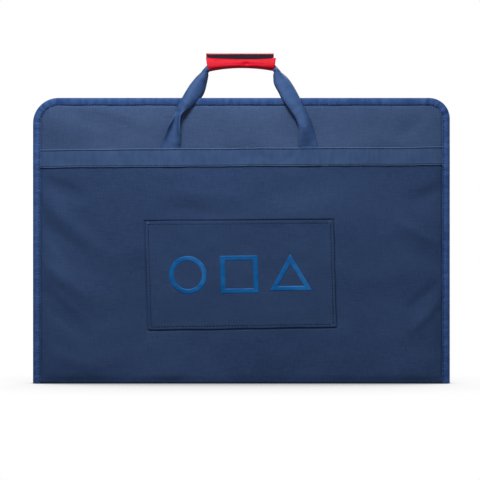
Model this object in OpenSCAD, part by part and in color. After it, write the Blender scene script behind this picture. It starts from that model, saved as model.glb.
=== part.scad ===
// Portfolio case: two boarded cloth panels joined by a cloth base, zipped round the other
// three sides, with two webbing handles held together by a padded wrap.
// Millimetres, +Z up. The front faces -Y and the origin is the middle of the base.

/* [Body] */
// Width of the panels, over the binding
body_w = 684; // [560:1:900]
// Height of the panels
body_h = 469; // [440:1:480]
// Depth over the outer cloths
body_d = 32; // [32:1:60]
// Radius of the two upper corners
corner_r = 38; // [24:1:80]

/* [Layers] */
// Thickness of the outer cloth
cloth_t = 0.9; // [0.6:0.1:1.2]
// Thickness of the stiffening board
board_t = 1.5; // [1:0.1:2]
// Thickness of the lining
lining_t = 0.6; // [0.4:0.1:0.8]
// Thickness of the base cloth
base_t = 1.5; // [1:0.1:1.5]
// Height of the seam between the lower and upper cloth
panel_seam_z = 371.7; // [300:0.1:380]

/* [Binding and zip] */
// Width of the binding tape on each face
binding_w = 12; // [10:0.5:16]
// Thickness of the binding tape
binding_t = 0.9; // [0.6:0.1:1]
// Thickness of the zip tape
tape_t = 0.8; // [0.6:0.1:0.8]
// Height of the zip coil over its tape
coil_h = 2.5; // [2:0.1:2.5]
// Length of each slider's body
slider_l = 9; // [7:0.5:12]
// Length of each pull
pull_l = 26; // [18:1:30]
// Width of each pull
pull_w = 6; // [5:0.5:8]

/* [Webbing] */
// Width of the webbing of the bands and handles
strap_w = 30; // [25:1:32]
// Thickness of the webbing of the handles
strap_t = 1.7; // [1.4:0.1:1.8]
// Thickness of the webbing of the bands
band_t = 1.2; // [0.8:0.1:1.2]
// Distance between the middles of a handle's two ends
handle_span = 224; // [200:1:260]

/* [Grip] */
// Length of the padded wrap
grip_l = 113.5; // [90:0.5:114]
// Outer radius of the wrap's rounded underside
grip_r = 8.2; // [8.2:0.1:10]
// Height of the middle of the rounded underside
grip_z = 521.5; // [518:0.5:521.5]
// Height of the free edge of the front flap
front_flap_z = 535.5; // [535:0.5:537]
// Height of the free edge of the rear flap
rear_flap_z = 544.6; // [538:0.1:550]

/* [Pockets] */
// Width of the outer pocket
pocket_w = 308; // [200:1:400]
// Height of the outer pocket
pocket_h = 176; // [120:1:220]
// Height of the outer pocket's lower edge
pocket_z = 91; // [40:1:120]
// Width of the pocket inside the rear panel
inner_w = 500; // [300:1:560]
// Height of the pocket inside the rear panel
inner_h = 210; // [120:1:260]
// Size of each shape of the printed mark
print_size = 62; // [30:1:80]

/* [Hidden] */
$fn = 64;

NAVY = "#3a4a66";
NAVY_LIGHT = "#3f5376";
BINDING_BLUE = "#35527e";
WEBBING_BLUE = "#3f5b86";
LINING_GREY = "#2a2f38";
BOARD_GREY = "#8d8f92";
RED = "#dc2040";
DARK = "#1d2029";
METAL = "#b8bcc2";
PRINT_BLUE = "#1659a0";

// depths of the front layers, from the outside in; the rear is their mirror image
cloth_y = -body_d / 2;
board_y = cloth_y + cloth_t;
lining_y = board_y + board_t;
lining_in_y = lining_y + lining_t;
seam_leg_y = board_y + tape_t;
binding_y = cloth_y - binding_t;
binding_in_y = seam_leg_y + binding_t;

// the panels clear the base by this much, to turn on it
panel_z = base_t + 0.3;
board_z = 4;
// the zip stands inside the flanges that carry the binding
zip_inset = binding_w;
coil_gap = 0.8;
coil_w = 3.2;
tape_gap = 1;
tape_end_z = 5;
fit_gap = 0.1;
beyond = 50;

// bands and what they cover
band_z = panel_seam_z - strap_w / 2;
band_top_z = panel_seam_z + strap_w / 2;
band_y = cloth_y - band_t;
anchor_y = cloth_y - strap_t + fit_gap;
cap_y = anchor_y - fit_gap - band_t;
cap_w = strap_w + 4;

// pockets and print
pocket_t = 1.6;
inner_t = 1.2;
inner_z = 60;
print_t = 0.15;
print_line = 8;
print_step = 1.36 * print_size;

// handles: the lower end turns on a line just above the band
pivot_y = cloth_y - 2.6;
pivot_z = band_top_z + 4.3;
lean_z = body_h + 5;
hinge_r = 0.8;
folded_t = 3.4;
folded_gap = 0.4;
folded_z = grip_z - 3.1;
folded_h = 13;
folded_x = 64;
leg_path = [
    [handle_span / 2, pivot_z], [handle_span / 2, pivot_z + 49],
    [handle_span / 2 - 24, pivot_z + 61], [grip_l / 2 + 8.25, grip_z + 0.5]
];
leg_steps = 20;

// wrap: cloth over foam, closed at the top by hook and loop
wrap_t = 1.2;
padding_t = 1.8;
grip_shoulder_z = grip_z + 9;
grip_top_r = 4;
flap_t = 1.6;
hook_t = 0.7;
strip_gap = 0.1;
strip_z = front_flap_z - 1.7;

// sliders
plate_t = 1.4;
plate_w = 11;
slider_x = 0.5;
slider_top = body_h - zip_inset + coil_h + 0.5;
slider_under = body_h - zip_inset - tape_t - 0.3;
pull_pin_r = 0.8;
pull_bore_r = 0.88;
pull_x = 5.5;
pull_z = slider_top + plate_t + 2;
pull_t = 1.4;
ear_gap = 1.5;

// A plate from y0 to y1 whose outline is given in X and Z
module slab(y0, y1) {
    translate([0, y1, 0]) rotate([90, 0, 0]) linear_extrude(y1 - y0) children();
}

// Both sides of the case
module rear_side() {
    mirror([0, 1, 0]) children();
}

// The panel's outline, drawn in by an inset at the sides and top, down to a given height
module outline(inset, low_z) {
    r = corner_r - inset;
    half = body_w / 2 - inset;
    top = body_h - inset;
    difference() {
        union() {
            translate([-half, low_z]) square([2 * half, top - r - low_z]);
            translate([r - half, top - 2 * r]) square([2 * (half - r), 2 * r]);
            for (s = [-1, 1]) translate([s * (half - r), top - r]) circle(r, $fn = 96);
        }
        translate([-half - 1, low_z - beyond]) square([2 * half + 2, beyond]);
    }
}

// A band along the sides and top, between two insets
module border(outer, inner, low_z) {
    difference() {
        outline(outer, low_z);
        outline(inner, low_z - beyond);
    }
}

// Base

module bottom_gusset() {
    color(NAVY)
        translate([-body_w / 2, cloth_y + 0.3, 0]) cube([body_w, body_d - 0.6, base_t]);
}

module zip_end_tab(side) {
    color(WEBBING_BLUE)
        translate([side * (body_w / 2 - zip_inset - 12) - 6, -11, base_t]) cube([12, 22, 2]);
}

// Layers of a panel

module lower_cloth(top_z) {
    slab(cloth_y, board_y) intersection() {
        outline(binding_t, panel_z);
        translate([-body_w / 2, 0]) square([body_w, top_z]);
    }
}

module upper_cloth(low_z) {
    slab(cloth_y, board_y) outline(binding_t, low_z);
}

module board() {
    color(BOARD_GREY) slab(board_y, lining_y) outline(zip_inset + 1.5, board_z);
}

module lining() {
    color(LINING_GREY) slab(lining_y, lining_in_y) outline(zip_inset + 1, board_z - 1);
}

module binding() {
    color(BINDING_BLUE) {
        slab(binding_y, cloth_y) border(0, binding_w, panel_z);
        slab(cloth_y, seam_leg_y) border(0, binding_t, panel_z);
        slab(seam_leg_y, binding_in_y) border(0, binding_w - 0.2, panel_z);
    }
}

module zip_tape() {
    color(NAVY) {
        slab(board_y, seam_leg_y) border(binding_t, zip_inset + tape_t, tape_end_z);
        slab(seam_leg_y, -tape_gap) border(zip_inset, zip_inset + tape_t, tape_end_z);
    }
}

module zip_coil() {
    color(DARK)
        slab(-coil_gap - coil_w, -coil_gap)
            border(zip_inset - coil_h, zip_inset - fit_gap, tape_end_z + 3);
}

// Webbing sewn across a panel, lifted where it passes over the handle's ends
module band() {
    half = body_w / 2 - binding_w - 0.2;
    color(WEBBING_BLUE) difference() {
        union() {
            slab(band_y, cloth_y) translate([-half, band_z]) square([2 * half, strap_w]);
            for (s = [-1, 1]) slab(cap_y, cloth_y)
                translate([s * handle_span / 2 - cap_w / 2, band_z]) square([cap_w, strap_w]);
        }
        for (s = [-1, 1]) slab(anchor_y - fit_gap, cloth_y + 1)
            translate([s * handle_span / 2 - strap_w / 2 - 0.3, band_z - 1])
                square([strap_w + 0.6, strap_w + 2]);
    }
}

// The sewn-down ends of a handle, with a short stub above the band
module handle_anchors() {
    low = band_z + 1;
    color(WEBBING_BLUE) for (s = [-1, 1]) slab(anchor_y, cloth_y)
        translate([s * handle_span / 2 - strap_w / 2, low]) square([strap_w, pivot_z - 1 - low]);
}

// A flat pocket, open along its top edge: the outer faces and the hollow, each as [y0, y1]
module patch_pocket(w, h, low_z, faces, hollow) {
    edge = 4;
    difference() {
        slab(faces[0], faces[1]) translate([-w / 2, low_z]) square([w, h]);
        slab(hollow[0], hollow[1]) translate([edge - w / 2, low_z + edge]) square([w - 2 * edge, h]);
    }
}

module front_pocket() {
    color(NAVY) patch_pocket(
        pocket_w, pocket_h, pocket_z,
        [cloth_y - pocket_t, cloth_y], [cloth_y - pocket_t / 2, cloth_y + 1]
    );
}

// A plain mark on the pocket: a ring, a square and a triangle in outline
module pocket_print() {
    middle = pocket_z + pocket_h / 2;
    color(PRINT_BLUE) slab(cloth_y - pocket_t - print_t, cloth_y - pocket_t) {
        translate([-print_step, middle]) difference() {
            circle(print_size / 2);
            circle(print_size / 2 - print_line);
        }
        translate([-print_size / 2, middle - print_size / 2]) difference() {
            square(print_size);
            translate([print_line, print_line]) square(print_size - 2 * print_line);
        }
        translate([print_step, middle - print_size / 8]) rotate(90) difference() {
            circle(print_size * 0.65, $fn = 3);
            circle(print_size * 0.65 - 2 * print_line, $fn = 3);
        }
    }
}

module inner_pocket() {
    color(LINING_GREY) patch_pocket(
        inner_w, inner_h, inner_z,
        [lining_in_y, lining_in_y + inner_t], [lining_in_y - 1, lining_in_y + inner_t / 2]
    );
}

module inner_pocket_binding() {
    y = lining_in_y + inner_t;
    color(BINDING_BLUE) slab(y, y + inner_t / 2)
        translate([-inner_w / 2, inner_z + inner_h - binding_w]) square([inner_w, binding_w]);
}

// Handles

function bezier(p, t) = let (u = 1 - t)
    u * u * u * p[0] + 3 * u * u * t * p[1] + 3 * u * t * t * p[2] + t * t * t * p[3];

function heading(p, t) = let (
    u = 1 - t,
    d = u * u * (p[1] - p[0]) + 2 * u * t * (p[2] - p[1]) + t * t * (p[3] - p[2])
) d / norm(d);

// half the strap's width, which closes to the folded height as it enters the wrap
function leg_half_w(t) = strap_w / 2 - (strap_w - folded_h) / 2 * pow(t, 3);

function leg_edge(side) = [
    for (i = [0 : leg_steps])
        let (t = i / leg_steps, d = heading(leg_path, t))
            bezier(leg_path, t) + side * leg_half_w(t) * [d[1], -d[0]]
];

module leg_outline() {
    outer = leg_edge(1);
    inner = leg_edge(-1);
    polygon(concat(outer, [for (i = [leg_steps : -1 : 0]) inner[i]]));
}

// A handle seen from the front
module handle_outline() {
    for (s = [0, 1]) mirror([s, 0]) {
        leg_outline();
        translate([handle_span / 2 - strap_w / 2, pivot_z - strap_t / 2])
            square([strap_w, strap_t]);
    }
    translate([-folded_x, folded_z]) square([2 * folded_x, folded_h]);
}

// A bar along X whose outline is given in Y and Z
module along_x(length) {
    translate([-length / 2, 0, 0]) rotate([90, 0, 90]) linear_extrude(length) children();
}

// The same strap seen from the side: upright over the panel, then leaning in to the grip
module handle_profile() {
    out_y = pivot_y - strap_t / 2;
    in_y = pivot_y + strap_t / 2;
    grip_out_y = -folded_gap - folded_t;
    along_x(body_w) translate([pivot_y, pivot_z]) circle(hinge_r);
    along_x(body_w) polygon([
        [out_y, pivot_z], [out_y, lean_z + 0.3], [grip_out_y, folded_z],
        [grip_out_y, folded_z + folded_h], [-folded_gap, folded_z + folded_h],
        [-folded_gap, folded_z - 1.5], [in_y, lean_z - 0.3], [in_y, pivot_z]
    ]);
}

module handle() {
    color(WEBBING_BLUE) intersection() {
        slab(pivot_y - 5, 0) handle_outline();
        handle_profile();
    }
}

// Wrap

// The front half of the closed wrap, drawn in by an inset, up to a given height
module wrap_solid(inset, top_z) {
    r = grip_r - inset;
    side_r = r - 0.5;
    top_r = max(grip_top_r - inset, hook_t + strip_gap);
    intersection() {
        union() {
            along_x(grip_l) translate([0, grip_z]) circle(r);
            along_x(grip_l) polygon([
                [-side_r, grip_z], [-side_r, grip_shoulder_z], [-top_r, front_flap_z],
                [1, front_flap_z], [1, grip_z]
            ]);
        }
        translate([-body_w / 2, -2 * grip_r, 0]) cube([body_w, 2 * grip_r - strip_gap, top_z]);
    }
}

// The space for the hook and loop strips, above the straps
module strip_space() {
    slab(-hook_t - strip_gap, 1) translate([-body_w / 2, strip_z]) square([body_w, 20]);
}

module wrap_half() {
    color(RED) difference() {
        wrap_solid(0, front_flap_z);
        wrap_solid(wrap_t, front_flap_z - wrap_t);
        strip_space();
    }
}

module padding_half() {
    color(DARK) difference() {
        wrap_solid(wrap_t, front_flap_z - wrap_t);
        wrap_solid(wrap_t + padding_t, front_flap_z);
        strip_space();
    }
}

module grip_hook_strip() {
    color(DARK) slab(-hook_t - strip_gap, -strip_gap)
        translate([2 - grip_l / 2, strip_z]) square([grip_l - 4, front_flap_z - 0.2 - strip_z]);
}

module grip_wrap_back() {
    rear_side() wrap_half();
    color(RED) slab(hook_t + strip_gap, hook_t + strip_gap + flap_t)
        translate([-grip_l / 2, front_flap_z]) square([grip_l, rear_flap_z - front_flap_z]);
}

module grip_loop_strip() {
    color(DARK) slab(strip_gap, hook_t + strip_gap)
        translate([2 - grip_l / 2, strip_z]) square([grip_l - 4, rear_flap_z - 1 - strip_z]);
}

// Sliders and pulls, drawn for the right-hand side

module slider() {
    color(METAL) {
        translate([slider_x, -plate_w / 2, slider_top]) cube([slider_l, plate_w, plate_t]);
        translate([slider_x, -plate_w / 2, slider_under - plate_t])
            cube([slider_l, plate_w, plate_t]);
        translate([slider_x, -0.5, slider_under - plate_t])
            cube([2.5, 1, slider_top - slider_under + 2 * plate_t]);
        for (s = [0, 1]) mirror([0, s, 0])
            translate([pull_x, 0, 0]) slab(ear_gap, ear_gap + 1) {
                translate([-1.8, slider_top + plate_t / 2])
                    square([3.6, pull_z - slider_top - plate_t / 2]);
                translate([0, pull_z]) circle(1.8);
            }
        translate([pull_x, 0, 0]) slab(-ear_gap - 0.5, ear_gap + 0.5)
            translate([0, pull_z]) circle(pull_pin_r);
    }
}

module pull() {
    eye_r = 1.6;
    color(METAL) difference() {
        union() {
            slab(0.2 - ear_gap, ear_gap - 0.2) translate([pull_x, pull_z]) circle(eye_r);
            translate([pull_x, 0.2 - ear_gap, pull_z - pull_t / 2])
                cube([5, 2 * ear_gap - 0.4, pull_t]);
            translate([pull_x + 4, -pull_w / 2, pull_z - pull_t / 2])
                cube([pull_l - 4, pull_w, pull_t]);
        }
        slab(-pull_w, pull_w) translate([pull_x, pull_z]) circle(pull_bore_r);
        translate([pull_x + pull_l - 5, 0, pull_z - pull_t]) cylinder(r = 1.5, h = 2 * pull_t);
    }
}

bottom_gusset();
zip_end_tab(-1);  // zip_end_tab_left
zip_end_tab(1);  // zip_end_tab_right

color(NAVY) lower_cloth(panel_seam_z);  // front_lower_panel
color(NAVY_LIGHT) upper_cloth(panel_seam_z);  // front_upper_panel
board();  // front_board
lining();  // front_lining
binding();  // front_binding
zip_tape();  // front_zip_tape
zip_coil();  // front_zip_coil
band();  // front_band
handle_anchors();  // front_handle_anchors
front_pocket();
pocket_print();

color(NAVY) rear_side() upper_cloth(panel_z);  // rear_panel
rear_side() board();  // rear_board
rear_side() lining();  // rear_lining
rear_side() binding();  // rear_binding
rear_side() zip_tape();  // rear_zip_tape
rear_side() zip_coil();  // rear_zip_coil
rear_side() band();  // rear_band
rear_side() handle_anchors();  // rear_handle_anchors
rear_side() inner_pocket();
rear_side() inner_pocket_binding();

handle();  // front_handle
rear_side() handle();  // rear_handle
grip_wrap_back();
rear_side() padding_half();  // grip_padding_back
grip_loop_strip();
wrap_half();  // grip_wrap_flap
padding_half();  // grip_padding_flap
grip_hook_strip();

mirror([1, 0, 0]) slider();  // slider_left
mirror([1, 0, 0]) pull();  // pull_left
slider();  // slider_right
pull();  // pull_right
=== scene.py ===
import math

import bmesh
import bpy
import numpy as np
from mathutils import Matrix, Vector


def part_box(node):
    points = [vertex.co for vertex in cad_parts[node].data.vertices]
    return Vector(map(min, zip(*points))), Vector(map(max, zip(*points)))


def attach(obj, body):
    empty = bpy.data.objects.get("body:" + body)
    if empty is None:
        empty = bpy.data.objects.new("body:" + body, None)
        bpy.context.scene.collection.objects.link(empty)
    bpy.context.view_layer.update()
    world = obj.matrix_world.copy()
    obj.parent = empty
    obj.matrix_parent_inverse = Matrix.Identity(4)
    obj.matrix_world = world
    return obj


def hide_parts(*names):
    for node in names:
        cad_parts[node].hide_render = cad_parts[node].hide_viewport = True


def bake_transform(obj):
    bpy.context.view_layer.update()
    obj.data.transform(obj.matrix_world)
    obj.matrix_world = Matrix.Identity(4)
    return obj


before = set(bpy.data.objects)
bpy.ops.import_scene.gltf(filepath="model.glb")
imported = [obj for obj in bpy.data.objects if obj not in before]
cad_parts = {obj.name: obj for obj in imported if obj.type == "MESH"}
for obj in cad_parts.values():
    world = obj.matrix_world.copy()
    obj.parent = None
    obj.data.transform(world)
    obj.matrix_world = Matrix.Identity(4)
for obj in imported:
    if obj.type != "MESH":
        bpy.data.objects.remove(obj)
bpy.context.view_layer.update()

# The looks of a zip-round portfolio case. Points are worked out in millimetres with +Z up and
# the front facing -Y; add_mesh turns them into metres, and mirrors the pieces of the rear.

MM = 0.001


def reach(node):
    """Lowest and highest corner of a CAD node, in millimetres."""
    low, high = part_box(node)
    return np.array(low) / MM, np.array(high) / MM


# ---------------------------------------------------------------- sizes, from the CAD parts
HALF_W = reach("front_binding")[1][0]
TOP_Z = reach("front_binding")[1][2]
CLOTH = -reach("front_lower_panel")[0][1]
LINING_IN = -reach("front_lining")[1][1]
BIND_OUT = -reach("front_binding")[0][1]
BIND_IN = -reach("front_binding")[1][1]
TAPE_IN = -reach("front_zip_tape")[1][1]
COIL_LOW, COIL_HIGH = reach("front_zip_coil")
SEAM_Z = reach("front_upper_panel")[0][2]
BAND_LOW, BAND_HIGH = reach("front_band")
INNER_LOW, INNER_HIGH = reach("inner_pocket")
TRIM_LOW, TRIM_HIGH = reach("inner_pocket_binding")
GRIP_LOW, GRIP_HIGH = reach("grip_wrap_flap")
RIM_Z = reach("grip_wrap_back")[1][2]

BINDING_W = 12.0
STRAP_T = 1.5
STRAP_W = 30.0
STITCH_PITCH = 5.0
HANDLE_X = 112.0
GRIP_MIDDLE_Z = 521.5
GRIP_HALF = 57.0
PANEL_CORNER_R = 30.0
LEFT_CORNER_R, RIGHT_CORNER_R = 42.0, 34.0
HEM_R = 4.5
POCKET_W, POCKET_H = 308.0, 176.0
HEM_REACH = 11.0
POCKET_SEAM = 1.7
# the pocket's corners in X and Z: it was sewn on slightly askew
POCKET_CORNERS = {"tl": (-157.5, 265.6), "tr": (150.5, 268.0), "bl": (-152.5, 88.6),
                  "br": (155.5, 93.4)}
# where the panel's grid is finer, under the pocket's seams
POCKET_SEAMS_X, POCKET_SEAMS_Z = (-155.0, 153.0), (91.0, 267.0)

# ---------------------------------------------------------------- camera, light and floor


def put(name, data):
    """A new object in the scene."""
    made = bpy.data.objects.new(name, data)
    bpy.context.scene.collection.objects.link(made)
    return made


def make_camera():
    data = bpy.data.cameras.new("camera")
    data.lens, data.sensor_width = 160.0, 36.0
    data.clip_end = 50.0
    camera = put("camera", data)
    camera.location = (-0.0023, -3.516, 0.2358)
    camera.rotation_euler = (math.radians(90), 0, 0)
    bpy.context.scene.camera = camera


def make_light(name, place, target, size, power):
    data = bpy.data.lights.new(name, "AREA")
    data.shape, data.size, data.energy = "DISK", size, power
    light = put(name, data)
    light.location = place
    light.rotation_mode = "QUATERNION"
    aim = np.array(target) - np.array(place)
    light.rotation_quaternion = Vector(aim.tolist()).to_track_quat("-Z", "Y")


def make_world():
    """White for the camera and a softer white as a light."""
    world = bpy.data.worlds.new("studio")
    bpy.context.scene.world = world
    world.use_nodes = True
    nodes, links = world.node_tree.nodes, world.node_tree.links
    nodes.clear()
    path = nodes.new("ShaderNodeLightPath")
    seen, lit, mix = (nodes.new(k) for k in
                      ("ShaderNodeBackground", "ShaderNodeBackground", "ShaderNodeMixShader"))
    seen.inputs["Strength"].default_value = 1.0
    lit.inputs["Strength"].default_value = 0.26
    for shade in (seen, lit):
        shade.inputs["Color"].default_value = (1, 1, 1, 1)
    links.new(path.outputs["Is Camera Ray"], mix.inputs[0])
    links.new(lit.outputs[0], mix.inputs[1])
    links.new(seen.outputs[0], mix.inputs[2])
    links.new(mix.outputs[0], nodes.new("ShaderNodeOutputWorld").inputs["Surface"])


def make_stage():
    make_camera()
    make_world()
    make_light("key", (-0.16, -0.72, 1.2), (0, 0, 0.34), 0.35, 13)
    make_light("fill", (1.5, -2.2, 1.3), (0, 0, 0.25), 1.0, 4)
    make_light("back", (0.3, 0.85, 1.25), (0, 0, 0.3), 0.45, 11)
    bpy.context.scene.view_settings.view_transform = "Standard"


# ---------------------------------------------------------------- meshes


def lay_uv(mesh, uv):
    """Cloth coordinates for a mesh, one pair in millimetres for each point."""
    while mesh.uv_layers:
        mesh.uv_layers.remove(mesh.uv_layers[0])
    corners = np.zeros(len(mesh.loops), np.int32)
    mesh.loops.foreach_get("vertex_index", corners)
    layer = mesh.uv_layers.new(name="cloth")
    layer.data.foreach_set("uv", (np.asarray(uv, float) * MM)[corners].ravel())


def run_along(points):
    """The length so far at each point of a line."""
    return np.concatenate([[0], np.cumsum(np.linalg.norm(np.diff(points, axis=0), axis=1))])


def add_mesh(name, points, faces, uv=None, rear=False):
    """A closed, smooth mesh from points in millimetres, its uv in millimetres of cloth."""
    points = np.asarray(points, float) * MM
    if rear:
        points = points * (1, -1, 1)
    mesh = bpy.data.meshes.new(name)
    mesh.from_pydata(points.tolist(), [], [tuple(int(i) for i in f) for f in faces])
    if uv is not None:
        lay_uv(mesh, uv)
    mesh.polygons.foreach_set("use_smooth", [True] * len(mesh.polygons))
    work = bmesh.new()
    work.from_mesh(mesh)
    bmesh.ops.recalc_face_normals(work, faces=work.faces)
    work.to_mesh(mesh)
    work.free()
    return put(name, mesh)


def quads(rows, cols, first=0, flip=False):
    """The faces of a grid of points that are numbered row by row."""
    r, c = np.meshgrid(np.arange(rows - 1), np.arange(cols - 1), indexing="ij")
    a = (first + r * cols + c).ravel()
    faces = np.stack([a, a + 1, a + cols + 1, a + cols], 1)
    return faces[:, ::-1] if flip else faces


def unit(vectors):
    return vectors / np.maximum(np.linalg.norm(vectors, axis=-1, keepdims=True), 1e-9)


def sheet_of(name, outer, thickness, uv, rear=False):
    """A cloth: its outer face is a grid of points, x by columns and upwards by rows."""
    rows, cols = outer.shape[:2]
    out = unit(np.cross(np.gradient(outer, axis=1), np.gradient(outer, axis=0)))
    inner = outer - out * thickness
    n = rows * cols
    ring = np.concatenate([
        np.arange(cols), np.arange(1, rows) * cols + cols - 1,
        (rows - 1) * cols + np.arange(cols - 2, -1, -1), np.arange(rows - 2, 0, -1) * cols,
    ])
    middle = (outer.reshape(-1, 3)[ring] + inner.reshape(-1, 3)[ring]) / 2
    centre = outer.reshape(-1, 3).mean(0)
    middle += unit((middle - centre) * (1, 0, 1)) * thickness * 0.35
    points = np.concatenate([outer.reshape(-1, 3), inner.reshape(-1, 3), middle])
    after = np.roll(ring, -1)
    rim = 2 * n + np.arange(len(ring))
    rim_after = np.roll(rim, -1)
    faces = np.concatenate([
        quads(rows, cols), quads(rows, cols, n, flip=True),
        np.stack([ring, rim, rim_after, after], 1),
        np.stack([rim, ring + n, after + n, rim_after], 1),
    ])
    flat = uv.reshape(-1, 2)
    return add_mesh(name, points, faces, np.concatenate([flat, flat, flat[ring]]), rear)


def tube_of(name, rings, rear=False, uv=None):
    """A skin over a row of section loops, an array of loops by points by 3."""
    count, around = rings.shape[:2]
    c, k = np.meshgrid(np.arange(count - 1), np.arange(around), indexing="ij")
    here = (c * around + k).ravel()
    side = (c * around + (k + 1) % around).ravel()
    faces = np.stack([here, side, side + around, here + around], 1).tolist()
    faces += [list(range(around))[::-1], list((count - 1) * around + np.arange(around))]
    if uv is None:
        along = run_along(rings.mean(1))
        step = np.linalg.norm(np.diff(rings, axis=1), axis=2).mean(0)
        across = np.concatenate([[0], np.cumsum(step)])
        uv = np.stack(np.meshgrid(along, across, indexing="ij"), -1)
    return add_mesh(name, rings.reshape(-1, 3), faces, uv.reshape(-1, 2), rear)


# ---------------------------------------------------------------- soft surfaces


def waves(x, z, size, seed):
    """Smooth unevenness from about -1 to 1, with swellings about size across."""
    draw = np.random.default_rng(seed)
    total = 0.0
    for _ in range(7):
        turn, phase = draw.uniform(0, 2 * math.pi, 2)
        rate = math.pi / size * draw.uniform(0.6, 1.5)
        total = total + np.sin(rate * (x * math.cos(turn) + z * math.sin(turn)) + phase)
    return total / 3.2


def ripple(run, size, seed):
    """The same unevenness along a line."""
    return waves(run, 0 * run, size, seed)


def bump(distance, width):
    """1 at distance 0, falling smoothly to 0 at width and beyond."""
    share = np.clip(np.abs(distance) / width, 0, 1)
    return 1 - share * share * (3 - 2 * share)


def plateau(distance, half, ramp):
    """1 within half, falling to 0 over the ramp."""
    return bump(np.maximum(np.abs(distance) - half, 0), ramp)


def crease(x, z, start, end, width, height):
    """A soft ridge, or a valley where height is negative, along a line from start to end."""
    a, b = np.array(start, float), np.array(end, float)
    line = b - a
    along = ((x - a[0]) * line[0] + (z - a[1]) * line[1]) / (line @ line)
    across = ((x - a[0]) * line[1] - (z - a[1]) * line[0]) / np.linalg.norm(line)
    taper = np.clip(1 - (2 * np.clip(along, 0, 1) - 1) ** 2, 0, 1)
    taper = np.where((along < 0) | (along > 1), 0, taper)
    return height * taper * np.exp(-((across / width) ** 2))


# soft creases of the front: start, end, width and height
FRONT_CREASES = (
    ((-371, 352), (-246, 298), 12, -4.2), ((-372, 343), (-214, 200), 14, 3.2),
    ((-372, 307), (-232, 166), 15, -4.6), ((-372, 232), (-240, 130), 12, 3.4),
    ((-368, 182), (-246, 70), 14, -4.6), ((366, 176), (272, 80), 9, 4.0),
    ((366, 204), (266, 114), 9, -3.0), ((362, 206), (246, 271), 10, 3.4),
    ((362, 172), (246, 237), 12, -2.4), ((364, 335), (276, 298), 11, -3.4),
    ((-332, 66), (-240, 16), 12, 1.4), ((-300, 452), (-140, 402), 12, -3.0),
    ((-320, 478), (-160, 428), 12, 1.6), ((318, 450), (250, 400), 12, -2.4),
    ((-150, 312), (20, 306), 14, 2.2), ((-140, 280), (4, 275), 12, -2.6),
)
REAR_CREASES = (
    ((331, 330), (262, 296), 10, -0.8), ((331, 150), (250, 196), 12, 0.7),
    ((-331, 240), (-256, 214), 10, 0.8), ((-331, 120), (-270, 62), 9, -0.8),
)


def panel_depth(x, z, rear=False, under_pocket=False):
    """Depth of a panel's outer cloth: nearly flat, drawn in and puckered along the binding."""
    seed = 20 if rear else 10
    from_edge = np.maximum(from_binding(x, z), 0)
    along = np.where(HALF_W - np.abs(x) < TOP_Z - z, z, x)
    calm = 1 - np.exp(-from_edge / 16)
    by_strap = plateau(np.abs(x) - 106, 24, 26) * np.clip((z - 340) / 20, 0, 1)
    soft = 1.5 + 1.1 * waves(x, z, 85, seed) + 0.5 * waves(x, z, 38, seed + 1)
    soft = soft + 2.4 * bump(HALF_W - np.abs(x), 110)
    for one in REAR_CREASES if rear else FRONT_CREASES:
        soft = soft + crease(x, z, *one)
    soft = np.minimum((soft + np.sqrt(soft ** 2 + 0.8)) / 2, 8.0) * calm * (1 - 0.75 * by_strap)
    swing = along / 5.2 + 2.2 * ripple(along, 26, seed + 2)
    pucker = 0.25 * np.sin(swing) * np.exp(-from_edge / 7)
    seam = 1.3 * np.exp(-((from_edge / 2.0) ** 2))
    if not rear and not under_pocket:
        seam = seam + POCKET_SEAM * np.exp(-(((from_pocket(x, z) - 0.7) / 1.6) ** 2))
    return CLOTH + np.maximum(soft - seam + pucker, -0.8)


def from_binding(x, z):
    """Distance inwards from the binding's inner edge, which is round at the upper corners."""
    radius = np.where(x < 0, LEFT_CORNER_R, RIGHT_CORNER_R)
    side, top = HALF_W - np.abs(x), TOP_Z - z
    in_corner = (side < radius) & (top < radius)
    rounded = radius - np.hypot(radius - side, radius - top)
    return np.where(in_corner, rounded, np.minimum(side, top)) - BINDING_W


def from_pocket(x, z):
    """Distance outside the pocket's outline, negative within it."""
    order = ("bl", "br", "tr", "tl")
    far = -1e9
    for one, other in zip(order, order[1:] + order[:1]):
        start = np.array(POCKET_CORNERS[one])
        way = unit(np.array(POCKET_CORNERS[other]) - start)
        far = np.maximum(far, (x - start[0]) * way[1] - (z - start[1]) * way[0])
    return far


def front_side(x, depth, z):
    return np.stack([x, -depth, z], -1)


# ---------------------------------------------------------------- stitches


def smooth_path(points, step):
    """The same polyline with its points a given step apart."""
    points = np.asarray(points, float)
    run = run_along(points)
    at = np.arange(step / 2, run[-1], step)
    return np.stack([np.interp(at, run, points[:, k]) for k in range(3)], 1)


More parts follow.
